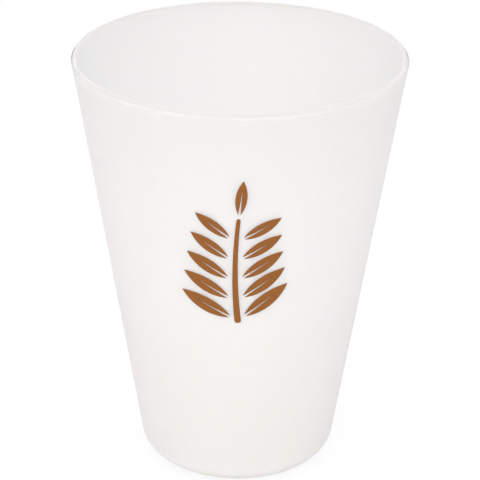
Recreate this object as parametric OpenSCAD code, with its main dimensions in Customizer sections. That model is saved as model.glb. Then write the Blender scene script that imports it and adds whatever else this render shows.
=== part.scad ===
// Reusable tumbler, injection moulded in frosted polypropylene, with a leaf sprig printed on
// its front in one colour of ink. It stands on the XY plane with its axis on Z, and the sprig
// faces -Y.

/* [Cup] */
// Outside diameter across the lip
rim_d = 88; // [76:1:100]
// Height from the table to the top of the lip
cup_h = 115; // [95:1:140]
// Outside diameter that the straight wall would have at the table
base_d = 51.6; // [48:0.2:60]
// Thickness of the wall, square to its face
wall_t = 1.3; // [0.9:0.1:2]
// Thickness of the floor
floor_t = 1.8; // [1.2:0.1:3]
// Radius of the outside corner, between the wall and the foot
corner_r = 6.4; // [5:0.2:8]
// Radius of the inside corner, between the wall and the floor
inner_corner_r = 5.2; // [3:0.2:7]

/* [Underside] */
// Width of the flat ring that the cup stands on
foot_w = 3; // [2:0.5:5]
// Depth of the hollow inside that ring
foot_h = 1.2; // [0.8:0.1:2]
// Diameter of the dimple around the moulding gate
gate_d = 7; // [5:0.5:10]
// Depth of the dimple
gate_h = 0.5; // [0.3:0.1:0.7]
// Diameter of the nub that the gate leaves in the dimple
nub_d = 1.6; // [1:0.2:3]
// Height of the nub, down from the dimple's roof
nub_h = 0.4; // [0.2:0.1:0.6]

/* [Print] */
// Depth of the print's top below the top of the lip
print_drop = 18.5; // [15:0.5:35]
// Degrees around the cup from the front to the middle of the print
print_turn = 0; // [-30:0.5:30]
// Length of the stem, up the wall
stem_l = 32; // [28:1:40]
// Width of the stem at its foot
stem_w = 1.7; // [0.8:0.1:2]
// Degrees that the stem bends through, clockwise going up
stem_bend = 12; // [4:1:40]
// Pairs of leaves along the stem
leaf_pairs = 5; // [3:1:6]
// Length of a leaf of the lowest pair
leaf_l = 14.5; // [10:0.5:15]
// Width of that leaf
leaf_w = 4.1; // [3:0.1:4.5]
// Length of the leaf at the stem's tip, and the size that the pairs shrink to
tip_leaf_l = 10.5; // [8:0.5:11]
// Angle between a leaf and the stem
leaf_angle = 56; // [40:1:60]
// Bare gap between the stem and a leaf
leaf_gap = 0.7; // [0.4:0.1:1.2]
// Width of the bare vein in a leaf, at its root
vein_w = 0.7; // [0.4:0.1:1]
// Thickness of the ink
ink_t = 0.1; // [0.06:0.02:0.2]

/* [Hidden] */

FROSTED = [0.95, 0.94, 0.93];
INK = [0.62, 0.4, 0.24];
AROUND_FN = 180;
CORNER_STEPS = 14;
FOOT_STEPS = 5;
STEM_STEPS = 12;
// Steps between the first and last points of the stem's round ends, and degrees between them
END_STEPS = 6;
END_STEP = 180 / (END_STEPS + 2);
// Degrees between the points of the lip's round
LIP_STEP = 15;
// Where the lowest leaves sit along the stem, as a share of its length
FIRST_LEAF = 0.06;
// Width of the stem at its tip, and length of a leaf's vein, as shares of the stem and the leaf
STEM_TAPER = 0.6;
VEIN_SHARE = 0.72;
// How far the layer of ink reaches past the sprig, around the cup and at each end
LAYER_HALF_ANGLE = 60;
LAYER_MARGIN = 2;
// Half the depth of the flat outlines that are cut with that layer, enough to follow its curve
REACH = 4;

base_r = base_d / 2;
lip_r = wall_t / 2;
// The lip is a full round across the wall, and its centre fixes how far the wall leans.
lip_centre = [rim_d / 2 - lip_r, cup_h - lip_r];
lip_offset = lip_centre - [base_r, 0];
lean = atan2(lip_offset[0], lip_offset[1]) + asin(lip_r / norm(lip_offset));
lip_angles = concat([-lean], [for (a = [0 : LIP_STEP : 180 - lean - LIP_STEP / 2]) a], [180 - lean]);

floor_z = foot_h + floor_t;
foot_r = under_face(corner_r, corner_r);
hollow_r = foot_r - foot_w - foot_h;
dimple_z = foot_h + gate_h;

print_l = stem_l + leaf_gap + tip_leaf_l;
print_z = cup_h - print_drop - print_l * cos(lean);

// Radius at height z of the line that runs depth mm inside the wall's outer face.
function under_face(z, depth) = base_r + z * tan(lean) - depth / cos(lean);

// Points about centre [r, z] at the given angles.
function arc(centre, radius, angles) = [for (a = angles) centre + radius * [cos(a), sin(a)]];
// Angles from a0 to a1 in even steps.
function fan(a0, a1, steps) = [for (i = [0 : steps]) a0 + (a1 - a0) * i / steps];

// Half section of the underside, from the axis out to the flat of the foot ring. The second arc
// starts one step in, because the first ends on the same point.
function underside() = concat(
    [[0, dimple_z - nub_h], [nub_d / 2, dimple_z - nub_h], [nub_d / 2, dimple_z]],
    [[gate_d / 2 - gate_h, dimple_z], [gate_d / 2, foot_h]],
    arc([hollow_r, foot_h / 2], foot_h / 2, fan(90, 0, FOOT_STEPS)),
    arc([hollow_r + foot_h, foot_h / 2], foot_h / 2, fan(180 + 90 / FOOT_STEPS, 270, FOOT_STEPS - 1))
);

// Half section of the outer face: the corner, the straight wall and the round of the lip.
function outer_face() = concat(
    arc([foot_r, corner_r], corner_r, fan(-90, -lean, CORNER_STEPS)),
    arc(lip_centre, lip_r, lip_angles)
);

// Half section of the inner face, from the wall down to the middle of the floor.
function inner_face() =
    let (z = floor_z + inner_corner_r)
    concat(
        arc([under_face(z, wall_t + inner_corner_r), z], inner_corner_r, fan(-lean, -90, CORNER_STEPS)),
        [[0, floor_z]]
    );

// The cup, moulded in one piece.
module cup() {
    color(FROSTED)
        rotate_extrude($fn = AROUND_FN)
            polygon(concat(underside(), outer_face(), inner_face()));
}

// The layer that the ink can lie in: it rests on the wall's outer face, around the front.
module ink_layer() {
    z0 = print_z - LAYER_MARGIN;
    z1 = print_z + print_l + LAYER_MARGIN;
    rotate([0, 0, print_turn - 90 - LAYER_HALF_ANGLE])
        rotate_extrude(angle = 2 * LAYER_HALF_ANGLE, $fn = AROUND_FN)
            polygon([
                [under_face(z0, 0), z0],
                [under_face(z0, -ink_t), z0],
                [under_face(z1, -ink_t), z1],
                [under_face(z1, 0), z1]
            ]);
}

// Carries a flat outline onto the wall: along mm up the face from the stem's foot and across mm
// around it, with the outline's own Y axis turned clockwise from straight up by turn degrees.
module on_wall(across, along, turn) {
    z = print_z + along * cos(lean);
    r = under_face(z, 0);
    rotate([0, 0, print_turn + across / r * 180 / PI])
        translate([0, -r, z])
            rotate([90 + lean, 0, 0])
                rotate([0, 0, -turn])
                    linear_extrude(height = 2 * REACH, center = true)
                        children();
}

// The stem's middle line is an arc with its foot and its tip one above the other: heading is
// its angle from straight up and stem_point its place, along mm from the foot.
stem_r = stem_l / (stem_bend * PI / 180);
function heading(along) = (along / stem_l - 0.5) * stem_bend;
function stem_point(along) =
    stem_r * [cos(stem_bend / 2) - cos(heading(along)), sin(heading(along)) + sin(stem_bend / 2)];
// The point gap mm to the right of the middle line, or to the left of it if gap is negative.
function beside(along, gap) = stem_point(along) + gap * [cos(heading(along)), -sin(heading(along))];

// A strip along the middle line that narrows towards its tip, with round ends.
module stem() {
    function half_w(along) = stem_w / 2 * (1 - (1 - STEM_TAPER) * along / stem_l);
    function end_round(along, from) =
        arc(stem_point(along), half_w(along), fan(from + END_STEP, from + 180 - END_STEP, END_STEPS));
    low = half_w(0);
    high = stem_l - half_w(stem_l);
    on_wall(0, 0, 0)
        polygon(concat(
            [for (s = fan(low, high, STEM_STEPS)) beside(s, half_w(s))],
            end_round(high, -heading(high)),
            [for (s = fan(high, low, STEM_STEPS)) beside(s, -half_w(s))],
            end_round(low, 180 - heading(low))
        ));
}

// A leaf lying along +Y from the origin: where two circles overlap, less the bare vein.
module leaf(l) {
    w = leaf_w * l / leaf_l;
    bow_r = (l * l + w * w) / (4 * w);
    difference() {
        intersection() {
            translate([bow_r - w / 2, l / 2]) circle(r = bow_r, $fn = AROUND_FN);
            translate([w / 2 - bow_r, l / 2]) circle(r = bow_r, $fn = AROUND_FN);
        }
        polygon([[-vein_w / 2, -vein_w], [vein_w / 2, -vein_w], [0, VEIN_SHARE * l]]);
    }
}

module leaf_at(root, turn, l) {
    on_wall(root[0], root[1], turn) leaf(l);
}

// The printed sprig: a bent stem, pairs of leaves that shrink towards its tip, and a tip leaf.
module print() {
    first = FIRST_LEAF * stem_l;
    pitch = (stem_l - first) / leaf_pairs;
    color(INK)
        intersection() {
            ink_layer();
            union() {
                stem();
                for (i = [0 : leaf_pairs - 1], side = [-1, 1]) {
                    s = first + i * pitch;
                    leaf_at(
                        beside(s, side * (stem_w / 2 + leaf_gap)),
                        heading(s) + side * leaf_angle,
                        leaf_l + (tip_leaf_l - leaf_l) * i / leaf_pairs
                    );
                }
                leaf_at(stem_point(stem_l + leaf_gap), heading(stem_l), tip_leaf_l);
            }
        }
}

cup();
print();
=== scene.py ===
"""Frosted tumbler with a leaf sprig printed on it: its looks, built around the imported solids."""

import math

import bmesh
import bpy
import numpy as np
from bpy.props import FloatProperty, FloatVectorProperty, IntProperty, PointerProperty
from bpy.types import Operator, Panel, PropertyGroup
from mathutils import Matrix, Vector


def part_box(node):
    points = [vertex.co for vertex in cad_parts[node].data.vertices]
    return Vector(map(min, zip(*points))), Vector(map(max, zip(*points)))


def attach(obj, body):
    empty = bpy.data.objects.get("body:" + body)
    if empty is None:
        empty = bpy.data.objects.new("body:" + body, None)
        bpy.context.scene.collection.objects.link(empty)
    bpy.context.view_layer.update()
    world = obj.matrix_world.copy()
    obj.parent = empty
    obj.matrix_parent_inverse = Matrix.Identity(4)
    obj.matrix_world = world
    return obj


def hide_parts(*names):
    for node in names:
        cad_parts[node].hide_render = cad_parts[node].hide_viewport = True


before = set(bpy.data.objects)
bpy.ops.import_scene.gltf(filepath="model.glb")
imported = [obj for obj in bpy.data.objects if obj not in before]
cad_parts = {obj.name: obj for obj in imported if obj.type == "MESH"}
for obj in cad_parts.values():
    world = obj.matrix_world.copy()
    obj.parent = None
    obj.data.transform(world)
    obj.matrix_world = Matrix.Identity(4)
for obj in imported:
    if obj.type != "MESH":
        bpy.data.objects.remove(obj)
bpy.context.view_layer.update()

bl_info = {
    "name": "Frosted Tumbler",
    "version": (1, 0, 0),
    "blender": (4, 5, 0),
    "location": "View3D > Sidebar > Tumbler",
    "description": "Builds a frosted tumbler, the sprig printed on it and a plain studio",
    "category": "Add Mesh",
}

CUP_LOW, CUP_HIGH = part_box("cup")
BODY = "root"

# The cup's section gets a point each ARC_STEP around its rounds and each RUN_STEP along its runs.
ARC_STEP = math.radians(7.5)
RUN_STEP = 0.0025
# Rows of points up a leaf's veined part and its tip, and columns across half of the leaf
VEINED_ROWS, TIP_ROWS, LEAF_COLUMNS = 25, 13, 7
# Rows and columns of points along and across the stem
STEM_ROWS, STEM_COLUMNS = 81, 5
# Places tried for the point where a leaf's edge leaves its vein
ROOT_TRIES = 200
# Points of a mesh that are closer than this are one point.
SAME_POINT = 1e-7
# Most of a noise's values lie in this range.
NOISE_LOW, NOISE_HIGH = 0.3, 0.7
# Half the floor's width, and how far it lies under the foot
FLOOR_HALF, FLOOR_DROP = 3.0, 0.00001
# Width of the camera's sensor in millimetres, and the nearest thing that it sees, in metres
SENSOR, NEAREST = 36.0, 0.01


def length(name, description, default):
    """A property for a length in metres."""
    return FloatProperty(
        name=name,
        description=description,
        default=default,
        min=0.0,
        precision=5,
        unit="LENGTH",
        subtype="DISTANCE",
    )


def angle(name, description, degrees):
    """A property for an angle, whose default is given in degrees."""
    return FloatProperty(
        name=name,
        description=description,
        default=math.radians(degrees),
        unit="ROTATION",
        subtype="ANGLE",
    )


def colour(name, description, default):
    """A property for a colour."""
    return FloatVectorProperty(
        name=name,
        description=description,
        default=default,
        min=0.0,
        max=1.0,
        size=3,
        subtype="COLOR",
    )


def amount(name, description, default):
    """A property for a plain number that isn't negative."""
    return FloatProperty(name=name, description=description, default=default, min=0.0)


def span(name, description, default):
    """A property for the lowest and the highest of a range of shares."""
    return FloatVectorProperty(
        name=name,
        description=description,
        default=default,
        min=0.0,
        max=1.0,
        size=2,
    )


def whole(name, description, default, lowest):
    """A property for a whole number that isn't below the lowest."""
    return IntProperty(name=name, description=description, default=default, min=lowest)


class CupSizes(PropertyGroup):
    """The moulded cup's sizes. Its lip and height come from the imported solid."""

    lip_diameter: length("Lip diameter", "Outside diameter across the lip", CUP_HIGH.x - CUP_LOW.x)
    height: length("Height", "From the table to the top of the lip", CUP_HIGH.z - CUP_LOW.z)
    base_diameter: length("Base diameter", "Outside diameter of the wall at the table", 0.0516)
    wall: length("Wall", "Thickness of the wall, square to its face", 0.0013)
    floor: length("Floor", "Thickness of the floor", 0.0018)
    outer_corner: length("Outer corner", "Radius between the wall and the foot", 0.0064)
    inner_corner: length("Inner corner", "Radius between the wall and the floor, inside", 0.0052)
    foot_width: length("Foot width", "Width of the flat ring that the cup stands on", 0.003)
    foot_height: length("Foot height", "Depth of the hollow inside that ring", 0.0012)
    gate_diameter: length("Gate diameter", "Diameter of the dimple around the moulding gate", 0.007)
    gate_depth: length("Gate depth", "Depth of that dimple", 0.0005)
    nub_diameter: length("Nub diameter", "Diameter of the nub that the gate leaves", 0.0016)
    nub_height: length("Nub height", "Height of the nub, down from the dimple's roof", 0.0004)
    around: whole("Faces around", "Faces around the cup", 320, 16)


class SprigSizes(PropertyGroup):
    """The printed sprig's sizes, measured on the wall."""

    drop: length("Drop", "Depth of the sprig's top below the top of the lip", 0.0185)
    turn: angle("Turn", "Angle around the cup from the front to the middle of the sprig", 0.0)
    stem_length: length("Stem length", "Length of the stem, up the wall", 0.032)
    stem_width: length("Stem width", "Width of the stem at its foot", 0.0017)
    stem_taper: amount("Stem taper", "Its width at its tip, as a share of that at its foot", 0.6)
    stem_bend: angle("Stem bend", "Angle that the stem bends through, clockwise going up", 12.0)
    pairs: whole("Leaf pairs", "Pairs of leaves along the stem", 5, 1)
    first_leaf: amount("First leaf", "Where the lowest leaves sit, as a share of the stem", 0.06)
    leaf_length: length("Leaf length", "Length of a leaf of the lowest pair", 0.0145)
    leaf_width: length("Leaf width", "Width of that leaf", 0.0041)
    tip_length: length("Tip leaf length", "Length of the leaf at the stem's tip", 0.0105)
    leaf_angle: angle("Leaf angle", "Angle between a leaf and the stem", 56.0)
    leaf_gap: length("Leaf gap", "Bare gap between the stem and a leaf", 0.0007)
    vein_width: length("Vein width", "Width of the bare vein in a leaf, at its root", 0.0007)
    vein_share: amount("Vein share", "Length of the vein as a share of the leaf", 0.72)
    film: length("Ink film", "Height of the ink above the wall", 0.00006)
    key_depth: length("Ink key", "Depth that the ink's back lies under the wall's face", 0.00002)


class Finishes(PropertyGroup):
    """Colours and textures of the plastic and of the ink."""

    plastic: colour("Plastic", "Milky polypropylene", (0.95, 0.948, 0.945))
    cloud: colour("Cloud", "The plastic where it is a little less milky", (0.935, 0.932, 0.928))
    cloud_size: length("Cloud size", "Size of those places", 0.03)
    # Lip tone is painted shade: over the lip band the plastic's colour turns a little darker and
    # warmer to tone down the light falling on the lip's round top. The same band also lets the lip
    # scatter light further.
    painted_lip_shade: colour("Lip tone", "The plastic along the lip, where it is thin", (0.95, 0.936, 0.917))
    lip_band: length("Lip band", "Depth below the lip over which it grows clearer", 0.001)
    scatter_lip: length("Scatter at the lip", "How far light travels inside the clear lip", 0.015)
    scatter_wall: length("Scatter in the wall", "How far light travels inside the wall", 0.008)
    scatter_foot: length("Scatter at the foot", "How far light travels at the foot", 0.0035)
    scatter_tint: FloatVectorProperty(
        name="Scatter tint",
        description="How far red, green and blue light travel, as shares of the scatter",
        default=(1.0, 1.15, 1.4),
        size=3,
    )
    grain: length("Grain", "Size of the frosting's grain", 0.00025)
    grain_depth: length("Grain depth", "Depth of the grain on the plastic", 0.00001)
    ripple: length("Ripple", "Size of the wall's faint ripple", 0.012)
    ripple_depth: length("Ripple depth", "Depth of that ripple", 0.00004)
    roughness: span("Roughness", "Lowest and highest roughness of the plastic", (0.6, 0.7))
    ink: colour("Ink", "Brown ink", (0.318, 0.114, 0.022))
    ink_thin: colour("Thin ink", "The ink where it lies a little thinner", (0.335, 0.123, 0.025))
    mottle: length("Mottle", "Size of those places", 0.0012)
    ink_grain_depth: length("Ink grain depth", "Depth of the grain on the ink", 0.000008)
    ink_roughness: span("Ink roughness", "Lowest and highest roughness of the ink", (0.52, 0.66))
    gloss: amount("Gloss", "Specular level of the plastic and of the ink", 0.2)


class Studio(PropertyGroup):
    """The camera, the lamps and the floor."""

    elevation: angle("Elevation", "Angle that the camera looks down by", 24.644)
    roll: angle("Roll", "Turn of the picture, anticlockwise", -0.467)
    distance: length("Distance", "From the camera to the point that it looks at", 0.572)
    aim_right: length("Aim right", "How far right of the cup's axis the camera looks", 0.00035)
    aim_height: length("Aim height", "Height of the point that the camera looks at", 0.0616)
    focal: amount("Focal length", "Focal length in millimetres, on a sensor 36 mm wide", 158.18)
    ambient: amount("Ambient", "Light that comes from all around", 0.296)
    ambient_tint: colour("Ambient tint", "Colour of that light", (1.0, 0.962, 0.957))
    top: amount("Top", "Power of the lamp overhead, in watts", 22.5)
    front: amount("Front", "Power of the lamp high at the front, in watts", 9.0)
    left: amount("Left", "Power of the lamp at the front left, in watts", 1.8)
    back: amount("Back", "Power of the lamp high behind, in watts", 2.2)
    floor: colour("Floor", "Colour of the floor", (0.97, 0.97, 0.97))
    floor_glow: amount("Floor glow", "Share of plain white in what is seen of the floor", 0.88)


# Each lamp's name, which is also the name of its power above, with its place, size and tint
LAMPS = (
    ("top", (0.0, 0.0, 1.25), 2.4, (1.0, 0.992, 0.986)),
    ("front", (0.0, -1.2, 1.1), 2.0, (1.0, 0.985, 0.976)),
    ("left", (-1.3, -1.1, 0.8), 1.6, (1.0, 0.92, 0.895)),
    ("back", (0.0, 1.3, 1.0), 1.6, (0.9, 0.94, 1.0)),
)


# Shapes


def lean_of(cup):
    """Angle of the wall from upright.

    The lip is a full round across the wall. The wall's outer line starts at the base radius on the
    table and touches the lip's circle, so its angle is that of the line to the circle's centre
    plus the angle whose sine is the lip's radius over that line's length.
    """
    lip = cup.wall / 2
    across = cup.lip_diameter / 2 - lip - cup.base_diameter / 2
    up = cup.height - lip
    return math.atan2(across, up) + math.asin(lip / math.hypot(across, up))


def cup_corners(cup):
    """Corners of the cup's half section as rows of (radius, height, rounding), from the middle of
    its underside, out and over the lip, to the middle of the floor inside."""
    lean = lean_of(cup)
    along = np.array([math.sin(lean), math.cos(lean)])
    outward = np.array([math.cos(lean), -math.sin(lean)])
    lip = cup.wall / 2
    lip_centre = np.array([cup.lip_diameter / 2 - lip, cup.height - lip])
    floor_z = cup.foot_height + cup.floor
    roof = cup.foot_height + cup.gate_depth
    gate = cup.gate_diameter / 2
    nub = cup.nub_diameter / 2
    foot_outer = cup.base_diameter / 2 - cup.outer_corner * math.tan(math.radians(45) - lean / 2)
    hollow = foot_outer - cup.foot_width - cup.foot_height / 2
    inner_foot = cup.base_diameter / 2 + floor_z * math.tan(lean) - cup.wall / math.cos(lean)
    return np.array([
        (0.0, roof - cup.nub_height, 0.0),
        (nub, roof - cup.nub_height, cup.nub_height / 4),
        (nub, roof, cup.nub_height / 4),
        (gate - cup.gate_depth, roof, cup.gate_depth / 2),
        (gate, cup.foot_height, cup.gate_depth / 2),
        (hollow, cup.foot_height, cup.foot_height / 2),
        (hollow, 0.0, cup.foot_height / 2),
        (cup.base_diameter / 2, 0.0, cup.outer_corner),
        (*(lip_centre + lip * (along + outward)), lip),
        (*(lip_centre + lip * (along - outward)), lip),
        (inner_foot, floor_z, cup.inner_corner),
        (0.0, floor_z, 0.0),
    ])


def rounded_path(corners, arc_step, run_step):
    """Points of a path that runs straight between corners and rounds each of them.

    A corner's arc touches both of its runs: it starts and ends rounding / tan(h) from the corner,
    where h is half the angle between the runs. Arcs get a point each arc_step radians, and runs
    one each run_step metres.
    """
    spots, roundings = corners[:, :2], corners[:, 2]
    stretches = [spots[:1]]
    for before, corner, after, rounding in zip(spots, spots[1:], spots[2:], roundings[1:]):
        back = (before - corner) / np.linalg.norm(before - corner)
        ahead = (after - corner) / np.linalg.norm(after - corner)
        half = math.acos(np.clip(back @ ahead, -1, 1)) / 2
        middle = back + ahead
        centre = corner + middle / np.linalg.norm(middle) * rounding / math.sin(half)
        start = corner + back * rounding / math.tan(half) - centre
        sweep = math.pi - 2 * half
        side = np.sign(start[0] * ahead[1] - start[1] * ahead[0])
        turn = np.linspace(0, sweep, max(2, math.ceil(sweep / arc_step) + 1))[:, None]
        square = side * np.array([-start[1], start[0]])
        stretches.append(centre + np.cos(turn) * start + np.sin(turn) * square)
    stretches.append(spots[-1:])
    path = [stretches[0]]
    for last, following in zip(stretches, stretches[1:]):
        run = following[0] - last[-1]
        steps = max(1, math.ceil(np.linalg.norm(run) / run_step))
        share = np.arange(1, steps)[:, None] / steps
        path += [last[-1] + share * run, following]
    return np.concatenate(path)


def lathe(section, around):
    """Vertices and faces of a section turned about the Z axis.

    The point at section (r, z) and angle a is (r sin a, -r cos a, z). The section's first and last
    points lie on the axis and are one vertex each, so the surface is closed.
    """
    turn = np.arange(around) * (2 * math.pi / around)
    radius, height = section[1:-1, :1], section[1:-1, 1:]
    rings = np.stack([radius * np.sin(turn), -radius * np.cos(turn), height + 0 * turn], axis=-1)
    ends = np.array([(0, 0, section[0, 1]), (0, 0, section[-1, 1])])
    vertices = np.concatenate([rings.reshape(-1, 3), ends])
    here = np.arange(around)
    onward = np.roll(here, -1)
    row = np.arange(len(section) - 3)[:, None] * around
    above = row + around
    walls = np.stack([row + here, row + onward, above + onward, above + here], axis=-1)
    top = (len(section) - 3) * around
    first, last = len(vertices) - 2, len(vertices) - 1
    under = np.stack([0 * here + first, onward, here], axis=-1)
    over = np.stack([top + here, top + onward, 0 * here + last], axis=-1)
    return vertices, walls.reshape(-1, 4).tolist() + under.tolist() + over.tolist()


def onto_wall(cup, sprig, flat, root, turn):
    """Carries flat points (x, y) of an outline onto the outer face of the ink.

    The outline's plane touches the wall at root, given as distances around the wall and up it from
    the stem's foot, and its y axis is turned clockwise from straight up by turn. A point then moves
    along the plane's normal to the ink's face, a cone of radius base + z tan(lean) plus the film:
    the distance solves a quadratic.
    """
    lean = lean_of(cup)
    base = cup.base_diameter / 2
    print_length = sprig.stem_length + sprig.leaf_gap + sprig.tip_length
    foot = cup.height - sprig.drop - print_length * math.cos(lean)
    z = foot + root[1] * math.cos(lean)
    r = base + z * math.tan(lean)
    around = sprig.turn + root[0] / r
    sin_a, cos_a = math.sin(around), math.cos(around)
    sin_l, cos_l = math.sin(lean), math.cos(lean)
    right = np.array([cos_a, sin_a, 0])
    up = np.array([sin_a * sin_l, -cos_a * sin_l, cos_l])
    normal = np.array([sin_a * cos_l, -cos_a * cos_l, -sin_l])
    x = flat[:, :1] * math.cos(turn) + flat[:, 1:] * math.sin(turn)
    y = flat[:, 1:] * math.cos(turn) - flat[:, :1] * math.sin(turn)
    place = np.array([r * sin_a, -r * cos_a, z]) + x * right + y * up
    reach = base + sprig.film / cos_l + place[:, 2] * math.tan(lean)
    gain = normal[2] * math.tan(lean)
    a = cos_l**2 - gain**2
    b = 2 * (place[:, :2] @ normal[:2]) - 2 * reach * gain
    c = (place[:, :2] ** 2).sum(axis=1) - reach**2
    out = (np.sqrt(b**2 - 4 * a * c) - b) / (2 * a)
    return place + out[:, None] * normal


def grid_faces(rows, columns, first=0):
    """Faces of a grid of vertices that are numbered row by row from first."""
    corner = first + np.arange(rows - 1)[:, None] * columns + np.arange(columns - 1)
    faces = np.stack([corner, corner + 1, corner + columns + 1, corner + columns], axis=-1)
    return faces.reshape(-1, 4)


def eased(start, stop, rows):
    """Numbers from start to stop that crowd towards both ends, as the cosine of an even turn."""
    return start + (stop - start) * (1 - np.cos(np.linspace(0, math.pi, rows))) / 2


def leaf_outline(sprig, size):
    """A leaf of length size along +y: where two circles overlap, less the bare vein.

    The edge lies at x = sqrt(R^2 - (y - size / 2)^2) - (R - width / 2) on both sides. The vein is a
    wedge that narrows from its root to nothing. Each half of the leaf is a grid from the vein to
    the edge, and both halves share the middle line past the vein's end.
    """
    width = sprig.leaf_width * size / sprig.leaf_length
    bow = (size**2 + width**2) / (4 * width)
    vein_end = sprig.vein_share * size

    def edge(y):
        return np.sqrt(bow**2 - (y - size / 2) ** 2) - (bow - width / 2)

    def vein(y):
        return sprig.vein_width / 2 * np.maximum(0, (vein_end - y) / (vein_end + sprig.vein_width))

    near_root = np.linspace(0, vein_end / 2, ROOT_TRIES)
    root = np.interp(0, edge(near_root) - vein(near_root), near_root)
    veined, tip = eased(root, vein_end, VEINED_ROWS), eased(vein_end, size, TIP_ROWS)
    y = np.concatenate([veined, tip[1:]])[:, None]
    share = np.linspace(0, 1, LEAF_COLUMNS)
    x = vein(y) + share * (np.maximum(edge(y), vein(y)) - vein(y))
    half = np.stack([x, y + 0 * x], axis=-1)
    other = half[:, ::-1] * (-1, 1)
    flat = np.concatenate([half.reshape(-1, 2), other.reshape(-1, 2)])
    faces = [grid_faces(*x.shape), grid_faces(*x.shape, first=x.size)]
    return flat, np.concatenate(faces)


def stem_places(sprig, along):
    """Headings and middle points of the stem at distances along it.

    The stem is an arc with its tip straight above its foot. At a distance s its heading from
    straight up is (s / length - 1/2) bend, and its point follows by integrating the heading's
    sine and cosine.
    """
    heading = (along / sprig.stem_length - 0.5) * sprig.stem_bend
    bow = sprig.stem_length / sprig.stem_bend
    half = sprig.stem_bend / 2
    x = bow * (math.cos(half) - np.cos(heading))
    y = bow * (np.sin(heading) + math.sin(half))
    return heading, np.stack([x, y], axis=-1)


def beside_stem(sprig, along, gap):
    """Points a gap to the right of the stem's middle line, or to the left where it is negative."""
    heading, middle = stem_places(sprig, along)
    return middle + gap * np.stack([np.cos(heading), -np.sin(heading)], axis=-1)


def stem_outline(sprig):
    """The stem as a grid: a strip along its arc that narrows from foot to tip, with round ends.

    An end's round has the radius r of the strip's half width there. At a distance d from the end
    that is less than r, the strip's half width is scaled by sqrt(1 - (1 - d / r)^2), a circle's.
    """
    end = sprig.stem_length
    along = eased(0, end, STEM_ROWS)[:, None]
    half_width = sprig.stem_width / 2 * (1 - (1 - sprig.stem_taper) * along / end)
    from_end = np.minimum(along / half_width[0], (end - along) / half_width[-1])
    half_width = half_width * np.sqrt(1 - np.maximum(0, 1 - from_end) ** 2)
    flat = beside_stem(sprig, along, (np.linspace(-1, 1, STEM_COLUMNS) * half_width)[..., None])
    return flat.reshape(-1, 2), grid_faces(*flat.shape[:2])


def sprig_sheet(cup, sprig):
    """The ink's outer face: the stem, pairs of leaves that shrink up the stem, and a tip leaf."""
    flat, faces = stem_outline(sprig)
    parts = [(onto_wall(cup, sprig, flat, (0.0, 0.0), 0.0), faces)]
    first = sprig.first_leaf * sprig.stem_length
    pitch = (sprig.stem_length - first) / sprig.pairs
    for pair in range(sprig.pairs):
        along = first + pair * pitch
        size = sprig.leaf_length + (sprig.tip_length - sprig.leaf_length) * pair / sprig.pairs
        heading = float(stem_places(sprig, along)[0])
        for side in (-1, 1):
            root = beside_stem(sprig, along, side * (sprig.stem_width / 2 + sprig.leaf_gap))
            flat, faces = leaf_outline(sprig, size)
            turn = heading + side * sprig.leaf_angle
            parts.append((onto_wall(cup, sprig, flat, root, turn), faces))
    root = stem_places(sprig, sprig.stem_length + sprig.leaf_gap)[1]
    flat, faces = leaf_outline(sprig, sprig.tip_length)
    parts.append((onto_wall(cup, sprig, flat, root, sprig.stem_bend / 2), faces))
    starts = np.cumsum([0] + [len(places) for places, _ in parts])
    vertices = np.concatenate([places for places, _ in parts])
    faces = np.concatenate([faces + start for (_, faces), start in zip(parts, starts)])
    return vertices, faces.tolist()


def add_piece(name, vertices, faces, material):
    """Adds a smooth mesh piece that rides on the cup's body, with its doubled points merged."""
    mesh = bpy.data.meshes.new(name)
    mesh.from_pydata(vertices.tolist(), [], faces)
    work = bmesh.new()
    work.from_mesh(mesh)
    bmesh.ops.remove_doubles(work, verts=work.verts, dist=SAME_POINT)
    bmesh.ops.dissolve_degenerate(work, edges=work.edges, dist=SAME_POINT / 10)
    work.to_mesh(mesh)
    work.free()
    mesh.shade_smooth()
    mesh.materials.append(material)
    piece = bpy.data.objects.new(name, mesh)
    bpy.context.scene.collection.objects.link(piece)
    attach(piece, BODY)
    return piece


# Materials


def new_material(name):
    """A material with a Principled shader. Returns it, its node tree and the shader."""
    material = bpy.data.materials.new(name)
    material.use_nodes = True
    tree = material.node_tree
    return material, tree, tree.nodes["Principled BSDF"]


def feed(tree, inputs):
    """Feeds node inputs, given as pairs of an input and a socket to link or a value to set."""
    for target, value in inputs:
        if isinstance(value, bpy.types.NodeSocket):
            tree.links.new(value, target)
        else:
            target.default_value = value


def feed_named(tree, node, inputs):
    """Feeds some of a node's inputs from a dictionary of their names."""
    feed(tree, [(node.inputs[name], value) for name, value in inputs.items()])


def add_node(tree, kind, inputs=None, **settings):
    """A new node with some settings, and with some of its named inputs fed."""
    node = tree.nodes.new(kind)
    for name, value in settings.items():
        setattr(node, name, value)
    feed_named(tree, node, inputs or {})
    return node


def worked_out(tree, operation, *values):
    """The result of a Math node for numbers or sockets."""
    node = add_node(tree, "ShaderNodeMath", operation=operation)
    feed(tree, zip(node.inputs, values))
    return node.outputs["Value"]


def noise(tree, size, detail=2.0, roughness=0.5):
    """Noise on Object coordinates whose features are about size metres across."""
    place = add_node(tree, "ShaderNodeTexCoord")
    node = add_node(
        tree,
        "ShaderNodeTexNoise",
        {
            "Vector": place.outputs["Object"],
            "Scale": 1 / size,
            "Detail": detail,
            "Roughness": roughness,
        },
    )
    return node.outputs["Fac"]


def grain_noise(tree, finish):
    """The fine grain of the moulded frosting, which the ink follows too."""
    return noise(tree, finish.grain, detail=3.0, roughness=0.6)


def spread(tree, value, low=0.0, high=1.0):
    """The noise's usual range stretched to run from low to high."""
    node = add_node(
        tree,
        "ShaderNodeMapRange",
        {
            "Value": value,
            "From Min": NOISE_LOW,
            "From Max": NOISE_HIGH,
            "To Min": low,
            "To Max": high,
        },
    )
    return node.outputs["Result"]


def rgba(rgb):
    """A colour with full alpha, as colour sockets take it."""
    return (*rgb, 1)


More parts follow.
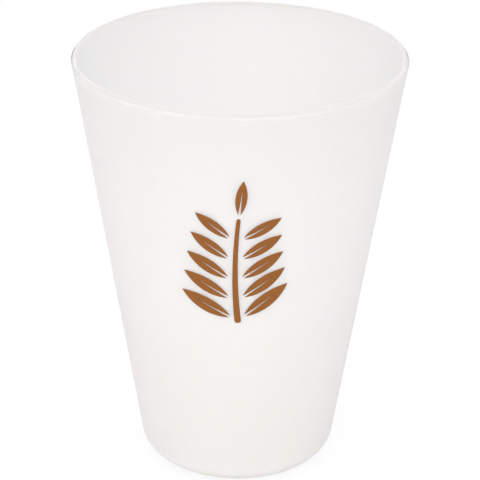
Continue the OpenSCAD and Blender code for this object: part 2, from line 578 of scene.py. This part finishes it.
def mixed(tree, share, one, other):
    """A colour that runs from one to another with share. Each is an RGBA value or a socket."""
    inputs = {"Factor": share, "A": one, "B": other}
    return add_node(tree, "ShaderNodeMix", inputs, data_type="RGBA").outputs["Result"]


def by_height(tree, low, high, value_low, value_high):
    """A value that runs smoothly from value_low at height low to value_high at height high."""
    place = add_node(tree, "ShaderNodeTexCoord")
    parts = add_node(tree, "ShaderNodeSeparateXYZ", {"Vector": place.outputs["Object"]})
    node = add_node(
        tree,
        "ShaderNodeMapRange",
        {
            "Value": parts.outputs["Z"],
            "From Min": low,
            "From Max": high,
            "To Min": value_low,
            "To Max": value_high,
        },
        interpolation_type="SMOOTHSTEP",
    )
    return node.outputs["Result"]


def bumps(tree, layers):
    """A normal from layers of height, each a (socket, depth in metres) pair."""
    normal = None
    for height, depth in layers:
        inputs = {"Height": height, "Strength": 1.0, "Distance": depth}
        if normal:
            inputs["Normal"] = normal
        normal = add_node(tree, "ShaderNodeBump", inputs).outputs["Normal"]
    return normal


def frosted_plastic(finish, height):
    """Milky polypropylene with a fine moulded frosting: light scatters inside the wall.

    The plastic grows clearer along the lip, at the given height, and lets less light through
    towards the foot. Along the lip its colour also holds painted shade, a little darker and
    warmer, that tones down the light falling on the lip's round top.
    """
    material, tree, shader = new_material("frosted_polypropylene")
    cloud = spread(tree, noise(tree, finish.cloud_size, detail=3.0))
    body = mixed(tree, cloud, rgba(finish.plastic), rgba(finish.cloud))
    # lip masks the lip band, where the colour takes painted shade and the scatter grows longer
    lip = by_height(tree, height - finish.lip_band, height, 0.0, 1.0)
    scatter = by_height(tree, 0.0, height, finish.scatter_foot, finish.scatter_wall)
    gain = finish.scatter_lip - finish.scatter_wall
    grain = grain_noise(tree, finish)
    ripple = noise(tree, finish.ripple, detail=1.0)
    feed_named(tree, shader, {
        # Painted shade: over the lip band the colour darkens a little to tone down the light on the
        # lip's top
        "Base Color": mixed(tree, lip, body, rgba(finish.painted_lip_shade)),
        "Subsurface Weight": 1.0,
        "Subsurface Scale": worked_out(tree, "MULTIPLY_ADD", lip, gain, scatter),
        "Subsurface Radius": finish.scatter_tint,
        "Roughness": spread(tree, grain, *finish.roughness),
        "Specular IOR Level": finish.gloss,
        "Normal": bumps(tree, [(ripple, finish.ripple_depth), (grain, finish.grain_depth)]),
    })
    return material


def brown_ink(finish):
    """One coat of screen ink: matt, with faint mottling where it lies thinner."""
    material, tree, shader = new_material("brown_screen_ink")
    mottle = spread(tree, noise(tree, finish.mottle, detail=4.0, roughness=0.65))
    grain = grain_noise(tree, finish)
    feed_named(tree, shader, {
        "Base Color": mixed(tree, mottle, rgba(finish.ink), rgba(finish.ink_thin)),
        "Roughness": spread(tree, mottle, *finish.ink_roughness),
        "Specular IOR Level": finish.gloss,
        "Normal": bumps(tree, [(grain, finish.ink_grain_depth)]),
    })
    return material


def seen_directly(tree):
    """1 for the camera's rays and for mirrored and refracted ones, and 0 for rays that light."""
    ray = add_node(tree, "ShaderNodeLightPath").outputs
    either = worked_out(tree, "MAXIMUM", ray["Is Camera Ray"], ray["Is Glossy Ray"])
    return worked_out(tree, "MAXIMUM", either, ray["Is Transmission Ray"])


def studio_floor(studio):
    """A pale matt floor. Sight of it is mostly plain white, and the rest keeps the cup's shadow."""
    material = bpy.data.materials.new("studio_floor")
    material.use_nodes = True
    tree = material.node_tree
    tree.nodes.clear()
    matt = add_node(tree, "ShaderNodeBsdfDiffuse", {"Color": rgba(studio.floor)})
    white = add_node(tree, "ShaderNodeEmission", {"Color": rgba((1, 1, 1)), "Strength": 1.0})
    glow = worked_out(tree, "MULTIPLY", seen_directly(tree), studio.floor_glow)
    blend = add_node(tree, "ShaderNodeMixShader")
    feed(tree, zip(blend.inputs, (glow, matt.outputs["BSDF"], white.outputs["Emission"])))
    add_node(tree, "ShaderNodeOutputMaterial", {"Surface": blend.outputs["Shader"]})
    return material


# Studio


def light_world(studio):
    """White where it is seen, and an even ambient light elsewhere."""
    world = bpy.data.worlds.new("studio_world")
    world.use_nodes = True
    tree = world.node_tree
    tree.nodes.clear()
    seen = seen_directly(tree)
    light = mixed(tree, seen, rgba(studio.ambient_tint), rgba((1, 1, 1)))
    level = worked_out(tree, "MULTIPLY_ADD", seen, 1 - studio.ambient, studio.ambient)
    sky = add_node(tree, "ShaderNodeBackground", {"Color": light, "Strength": level})
    add_node(tree, "ShaderNodeOutputWorld", {"Surface": sky.outputs["Background"]})
    bpy.context.scene.world = world


def add_lamp(name, place, aim, size, power, tint):
    """A square soft lamp at place that faces aim and isn't seen itself."""
    data = bpy.data.lights.new(name, "AREA")
    data.shape = "SQUARE"
    data.size = size
    data.energy = power
    data.color = tint
    lamp = bpy.data.objects.new(name, data)
    lamp.location = place
    lamp.rotation_euler = (Vector(aim) - Vector(place)).to_track_quat("-Z", "Y").to_euler()
    lamp.visible_camera = False
    bpy.context.scene.collection.objects.link(lamp)


def add_floor(studio):
    """A wide flat floor just under the foot."""
    turns = ((-1, -1), (1, -1), (1, 1), (-1, 1))
    corners = [(x * FLOOR_HALF, y * FLOOR_HALF, -FLOOR_DROP) for x, y in turns]
    mesh = bpy.data.meshes.new("studio_floor")
    mesh.from_pydata(corners, [], [(0, 1, 2, 3)])
    mesh.materials.append(studio_floor(studio))
    floor = bpy.data.objects.new("studio_floor", mesh)
    bpy.context.scene.collection.objects.link(floor)


def add_camera(studio):
    """The camera, which looks along +Y and down, turned about its own axis by the roll."""
    data = bpy.data.cameras.new("camera")
    data.sensor_width = SENSOR
    data.lens = studio.focal
    data.clip_start = NEAREST
    camera = bpy.data.objects.new("camera", data)
    aim = Vector((studio.aim_right, 0, studio.aim_height))
    away = Vector((0, -math.cos(studio.elevation), math.sin(studio.elevation)))
    tilt = Matrix.Rotation(math.pi / 2 - studio.elevation, 4, "X")
    roll = Matrix.Rotation(-studio.roll, 4, "Z")
    camera.matrix_world = Matrix.Translation(aim + studio.distance * away) @ tilt @ roll
    bpy.context.scene.collection.objects.link(camera)
    bpy.context.scene.camera = camera


# Operators and panel


class TUMBLER_OT_frosted_cup(Operator):
    """Turn the cup's section into its moulded shell, in frosted plastic"""

    bl_idname = "tumbler.frosted_cup"
    bl_label = "Frosted Cup"

    def execute(self, context):
        cup = context.scene.tumbler_cup
        section = rounded_path(cup_corners(cup), ARC_STEP, RUN_STEP)
        vertices, faces = lathe(section, cup.around)
        plastic = frosted_plastic(context.scene.tumbler_finishes, cup.height)
        piece = add_piece("frosted_cup", vertices, faces, plastic)
        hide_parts("cup")
        return {"FINISHED"}


class TUMBLER_OT_leaf_print(Operator):
    """Lay the printed sprig on the front of the cup, in brown ink"""

    bl_idname = "tumbler.leaf_print"
    bl_label = "Leaf Print"

    def execute(self, context):
        scene = context.scene
        vertices, faces = sprig_sheet(scene.tumbler_cup, scene.tumbler_sprig)
        piece = add_piece("leaf_print", vertices, faces, brown_ink(scene.tumbler_finishes))
        film = piece.modifiers.new("film", "SOLIDIFY")
        film.thickness = scene.tumbler_sprig.film + scene.tumbler_sprig.key_depth
        film.offset = -1.0
        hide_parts("print")
        return {"FINISHED"}


class TUMBLER_OT_studio(Operator):
    """Set the floor, the lamps, the surroundings and the camera"""

    bl_idname = "tumbler.studio"
    bl_label = "Studio"

    def execute(self, context):
        studio = context.scene.tumbler_studio
        middle = (0, 0, context.scene.tumbler_cup.height / 2)
        light_world(studio)
        add_floor(studio)
        for name, place, size, tint in LAMPS:
            add_lamp(name, place, middle, size, getattr(studio, name), tint)
        add_camera(studio)
        context.scene.view_settings.view_transform = "Standard"
        return {"FINISHED"}


class TUMBLER_PT_sidebar(Panel):
    """Lists the tumbler's sizes and colours, and the buttons that build it"""

    bl_idname = "TUMBLER_PT_sidebar"
    bl_label = "Frosted Tumbler"
    bl_space_type = "VIEW_3D"
    bl_region_type = "UI"
    bl_category = "Tumbler"

    def draw(self, context):
        scene = context.scene
        groups = (
            (scene.tumbler_cup, TUMBLER_OT_frosted_cup),
            (scene.tumbler_sprig, TUMBLER_OT_leaf_print),
            (scene.tumbler_finishes, None),
            (scene.tumbler_studio, TUMBLER_OT_studio),
        )
        for group, operator in groups:
            column = self.layout.column(align=True)
            for name in group.__annotations__:
                column.prop(group, name)
            if operator:
                column.operator(operator.bl_idname)


GROUPS = {
    "tumbler_cup": CupSizes,
    "tumbler_sprig": SprigSizes,
    "tumbler_finishes": Finishes,
    "tumbler_studio": Studio,
}
CLASSES = (
    *GROUPS.values(),
    TUMBLER_OT_frosted_cup,
    TUMBLER_OT_leaf_print,
    TUMBLER_OT_studio,
    TUMBLER_PT_sidebar,
)


def register():
    """Registers the classes, and hangs the property groups on the scene."""
    for cls in CLASSES:
        bpy.utils.register_class(cls)
    for name, group in GROUPS.items():
        setattr(bpy.types.Scene, name, PointerProperty(type=group))


def unregister():
    """Undoes register."""
    for name in GROUPS:
        delattr(bpy.types.Scene, name)
    for cls in reversed(CLASSES):
        bpy.utils.unregister_class(cls)


def main():
    """Builds the tumbler and its studio."""
    register()
    bpy.ops.tumbler.frosted_cup()
    bpy.ops.tumbler.leaf_print()
    bpy.ops.tumbler.studio()


if __name__ == "__main__":
    main()
